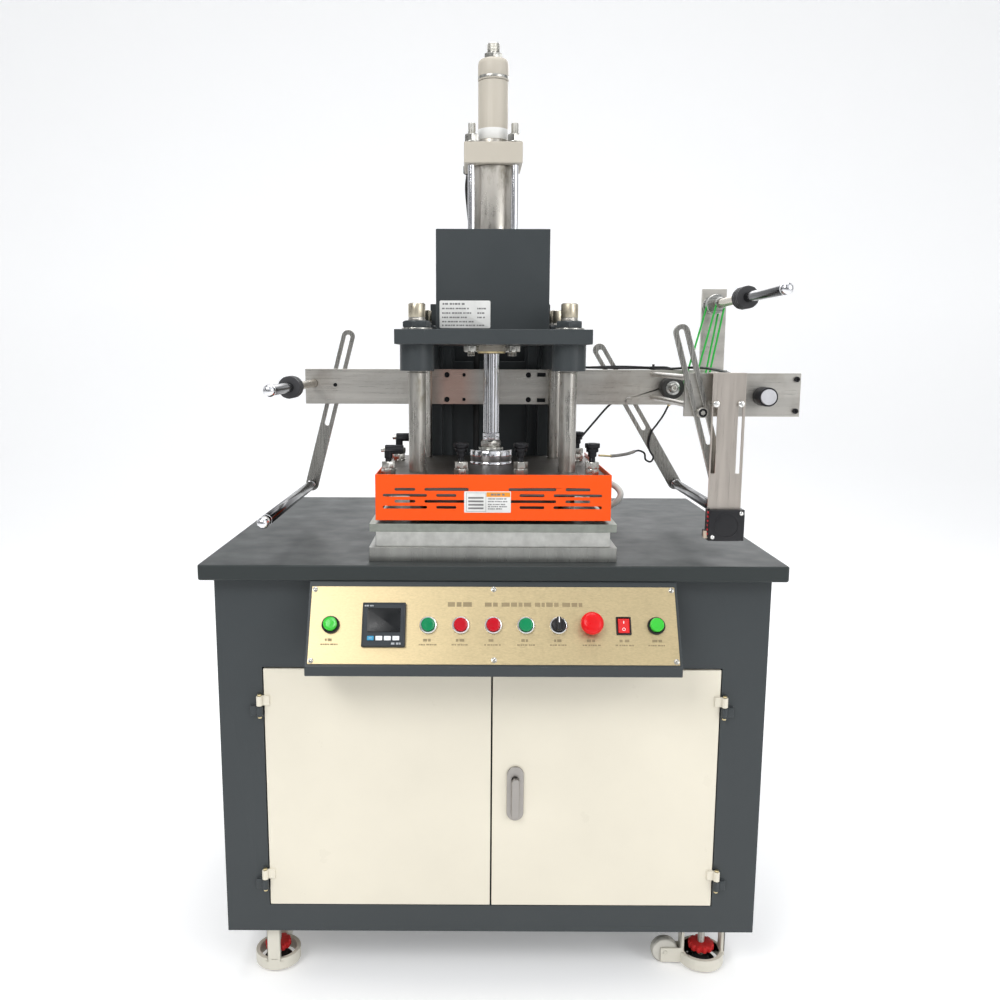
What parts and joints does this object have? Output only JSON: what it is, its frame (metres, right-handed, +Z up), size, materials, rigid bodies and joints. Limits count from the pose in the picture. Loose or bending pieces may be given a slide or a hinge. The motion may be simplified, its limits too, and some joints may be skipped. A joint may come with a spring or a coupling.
{
  "type": "hot foil stamper",
  "caption": "Hydraulic hot foil stamping press on a wheeled cabinet, with a heated head on guide columns, a two-hand control panel and a motorised foil feed.",
  "frame": {"origin": "on the floor, under the middle of the table top", "axes": "+Z up; +X to the operator's right; +Y away from the operator, who stands at -Y"},
  "size_m": [1.01, 0.862, 1.699],
  "materials": {
    "body_grey": "textured dark blue-grey powder coat",
    "door_cream": "smooth cream powder coat",
    "guard_orange": "smooth orange powder coat",
    "hinge_paint": "plain",
    "panel_steel": "brushed along its length, warm tint",
    "bright_steel": "ground and brushed",
    "mill_aluminium": "mill finish, handling marks",
    "bracket_steel": "bright stainless sheet",
    "chrome": "polished",
    "oiled_steel": "ground, with grease",
    "cylinder_paint": "thin beige-grey coat",
    "zinc_bolts": "zinc plated",
    "black_plastic": "satin moulded",
    "button_green": "glossy",
    "button_red": "glossy",
    "button_grey": "satin",
    "foot_black": "moulded rubber and steel",
    "caster_cream": "cast, painted cream",
    "wheel_nylon": "nylon tread",
    "roller_rubber": "moulded",
    "roller_green": "polyurethane",
    "belt_green": "round polyurethane belt",
    "motor_grey": "plain",
    "tank_grey": "plain",
    "heater_alloy": "machined, heat stained"
  },
  "bodies": {
    "frame": {"cabinet_shell": "body_grey", "table_top": "body_grey", "hinge_pins": "zinc_bolts", "levelling_feet": "foot_black", "hydraulic_unit": "tank_grey", "control_box": "body_grey", "control_panel": "panel_steel", "switch_bezels": "black_plastic", "temperature_controller": "black_plastic", "bed_plates": "mill_aluminium", "work_plate": "bright_steel", "guide_columns": "oiled_steel", "column_nuts": "zinc_bolts", "crosshead": "body_grey", "cylinder_cover": "body_grey", "cylinder_barrel": "oiled_steel", "cylinder_end_blocks": "cylinder_paint", "tie_rods": "zinc_bolts", "rear_column": "body_grey", "crossbar": "mill_aluminium", "foil_frame": "mill_aluminium", "feed_motor": "motor_grey", "drive_belts": "belt_green"},
    "left_door": {"left_door": "door_cream"},
    "right_door": {"right_door": "door_cream"},
    "lock_handle": {"lock_handle": "oiled_steel"},
    "caster_front_left": {"caster_housing_front_left": "caster_cream"},
    "wheel_front_left": {"caster_wheel_front_left": "wheel_nylon"},
    "caster_front_right": {"caster_housing_front_right": "caster_cream"},
    "wheel_front_right": {"caster_wheel_front_right": "wheel_nylon"},
    "caster_rear_left": {"caster_housing_rear_left": "caster_cream"},
    "wheel_rear_left": {"caster_wheel_rear_left": "wheel_nylon"},
    "caster_rear_right": {"caster_housing_rear_right": "caster_cream"},
    "wheel_rear_right": {"caster_wheel_rear_right": "wheel_nylon"},
    "left_start_button": {"left_start_button": "button_green"},
    "pump_start_button": {"pump_start_button": "button_green"},
    "pump_stop_button": {"pump_stop_button": "button_red"},
    "feed_stop_button": {"feed_stop_button": "button_red"},
    "feed_start_button": {"feed_start_button": "button_green"},
    "right_start_button": {"right_start_button": "button_green"},
    "jog_button": {"jog_button": "button_grey"},
    "selector_knob": {"selector_knob": "black_plastic"},
    "estop_button": {"estop_button": "button_red"},
    "rocker_key": {"rocker_key": "button_red"},
    "ram": {"piston_rod": "chrome", "press_hub": "chrome", "platen": "bright_steel", "heater_plate": "heater_alloy", "guard": "guard_orange", "head_bolts": "zinc_bolts"},
    "unwind_shaft": {"unwind_shaft": "chrome"},
    "left_link": {"left_link": "bright_steel"},
    "left_roller": {"left_roller": "chrome"},
    "right_link": {"right_link": "bright_steel"},
    "right_roller": {"right_roller": "chrome"},
    "front_link": {"front_link": "bright_steel"},
    "drive_roller": {"drive_roller": "roller_green"},
    "rewind_shaft": {"rewind_shaft": "chrome"},
    "pinch_roller": {"pinch_roller": "roller_rubber"},
    "blower_bracket": {"blower_bracket": "bracket_steel"}
  },
  "joints": [
    {"name": "left_door_hinge", "type": "hinge", "parent": "frame", "child": "left_door", "pos_m": [-0.407, -0.372, 0.376], "axis": [0, 0, -1], "range_deg": [0, 105]},
    {"name": "right_door_hinge", "type": "hinge", "parent": "frame", "child": "right_door", "pos_m": [0.407, -0.372, 0.376], "axis": [0, 0, 1], "range_deg": [0, 105]},
    {"name": "lock_turn", "type": "hinge", "parent": "right_door", "child": "lock_handle", "pos_m": [0.0425, -0.372, 0.395], "axis": [0, 1, 0], "range_deg": [0, 90]},
    {"name": "caster_swivel_front_left", "type": "hinge", "parent": "frame", "child": "caster_front_left", "pos_m": [-0.402, -0.305, 0.05], "axis": [0, 0, 1], "continuous": true},
    {"name": "wheel_spin_front_left", "type": "hinge", "parent": "caster_front_left", "child": "wheel_front_left", "pos_m": [-0.402, -0.235, 0.0265], "axis": [-1, 0, 0], "continuous": true},
    {"name": "caster_swivel_front_right", "type": "hinge", "parent": "frame", "child": "caster_front_right", "pos_m": [0.402, -0.305, 0.05], "axis": [0, 0, 1], "continuous": true},
    {"name": "wheel_spin_front_right", "type": "hinge", "parent": "caster_front_right", "child": "wheel_front_right", "pos_m": [0.332, -0.305, 0.0265], "axis": [0, -1, 0], "continuous": true},
    {"name": "caster_swivel_rear_left", "type": "hinge", "parent": "frame", "child": "caster_rear_left", "pos_m": [-0.402, 0.305, 0.05], "axis": [0, 0, 1], "continuous": true},
    {"name": "wheel_spin_rear_left", "type": "hinge", "parent": "caster_rear_left", "child": "wheel_rear_left", "pos_m": [-0.402, 0.235, 0.0265], "axis": [1, 0, 0], "continuous": true},
    {"name": "caster_swivel_rear_right", "type": "hinge", "parent": "frame", "child": "caster_rear_right", "pos_m": [0.402, 0.305, 0.05], "axis": [0, 0, 1], "continuous": true},
    {"name": "wheel_spin_rear_right", "type": "hinge", "parent": "caster_rear_right", "child": "wheel_rear_right", "pos_m": [0.332, 0.305, 0.0265], "axis": [0, -1, 0], "continuous": true},
    {"name": "left_start_press", "type": "slide", "parent": "frame", "child": "left_start_button", "axis": [0, 0.8588, -0.5123], "range_m": [0, 0.004], "stiffness_N_per_m": 600},
    {"name": "pump_start_press", "type": "slide", "parent": "frame", "child": "pump_start_button", "axis": [0, 0.8588, -0.5123], "range_m": [0, 0.004], "stiffness_N_per_m": 600},
    {"name": "pump_stop_press", "type": "slide", "parent": "frame", "child": "pump_stop_button", "axis": [0, 0.8588, -0.5123], "range_m": [0, 0.004], "stiffness_N_per_m": 600},
    {"name": "feed_stop_press", "type": "slide", "parent": "frame", "child": "feed_stop_button", "axis": [0, 0.8588, -0.5123], "range_m": [0, 0.004], "stiffness_N_per_m": 600},
    {"name": "feed_start_press", "type": "slide", "parent": "frame", "child": "feed_start_button", "axis": [0, 0.8588, -0.5123], "range_m": [0, 0.004], "stiffness_N_per_m": 600},
    {"name": "right_start_press", "type": "slide", "parent": "frame", "child": "right_start_button", "axis": [0, 0.8588, -0.5123], "range_m": [0, 0.004], "stiffness_N_per_m": 600},
    {"name": "jog_press", "type": "slide", "parent": "frame", "child": "jog_button", "axis": [0, 1, 0], "range_m": [0, 0.004], "stiffness_N_per_m": 600},
    {"name": "selector_turn", "type": "hinge", "parent": "frame", "child": "selector_knob", "pos_m": [0.108, -0.43992, 0.70159], "axis": [0, 0.8588, -0.5123], "range_deg": [-45, 45]},
    {"name": "estop_press", "type": "slide", "parent": "frame", "child": "estop_button", "axis": [0, 0.8588, -0.5123], "range_m": [0, 0.004]},
    {"name": "rocker_tilt", "type": "hinge", "parent": "frame", "child": "rocker_key", "pos_m": [0.216, -0.43219, 0.69697], "axis": [1, 0, 0], "range_deg": [-16, 0]},
    {"name": "ram_slide", "type": "slide", "parent": "frame", "child": "ram", "axis": [0, 0, 1], "range_m": [0, 0.1]},
    {"name": "unwind_spin", "type": "hinge", "parent": "frame", "child": "unwind_shaft", "pos_m": [-0.366, 0.04, 1.082], "axis": [0, 1, 0], "continuous": true},
    {"name": "left_link_swing", "type": "hinge", "parent": "frame", "child": "left_link", "pos_m": [-0.3219, 0.054, 1.079], "axis": [0, 1, 0], "range_deg": [-30, 15]},
    {"name": "left_roller_spin", "type": "hinge", "parent": "left_link", "child": "left_roller", "pos_m": [-0.378, -0.2, 0.868], "axis": [0, 1, 0], "continuous": true},
    {"name": "right_link_swing", "type": "hinge", "parent": "frame", "child": "right_link", "pos_m": [0.29, 0.054, 1.049], "axis": [0, 1, 0], "range_deg": [-5, 5]},
    {"name": "right_roller_spin", "type": "hinge", "parent": "right_link", "child": "right_roller", "pos_m": [0.395, -0.2, 0.8735], "axis": [0, 1, 0], "continuous": true},
    {"name": "front_link_swing", "type": "hinge", "parent": "frame", "child": "front_link", "pos_m": [0.3453, -0.368, 1.047], "axis": [0, 1, 0], "range_deg": [-6, 6]},
    {"name": "drive_roller_spin", "type": "hinge", "parent": "frame", "child": "drive_roller", "pos_m": [0.4195, 0.04, 1.076], "axis": [0, 1, 0], "continuous": true},
    {"name": "rewind_spin", "type": "hinge", "parent": "frame", "child": "rewind_shaft", "pos_m": [0.455, 0.055, 1.244], "axis": [0, 1, 0], "continuous": true},
    {"name": "pinch_roller_spin", "type": "hinge", "parent": "frame", "child": "pinch_roller", "pos_m": [0.373, 0.01, 1.076], "axis": [0, 1, 0], "continuous": true},
    {"name": "bracket_slide", "type": "slide", "parent": "frame", "child": "blower_bracket", "axis": [0, 0, 1], "range_m": [0, 0.11]}
  ],
  "couplings": [
    {"joint": "front_link_swing", "follows": "right_link_swing", "ratio": 1.095},
    {"joint": "rewind_spin", "follows": "drive_roller_spin", "ratio": 1.62},
    {"joint": "pinch_roller_spin", "follows": "drive_roller_spin", "ratio": -1.0222}
  ]
}
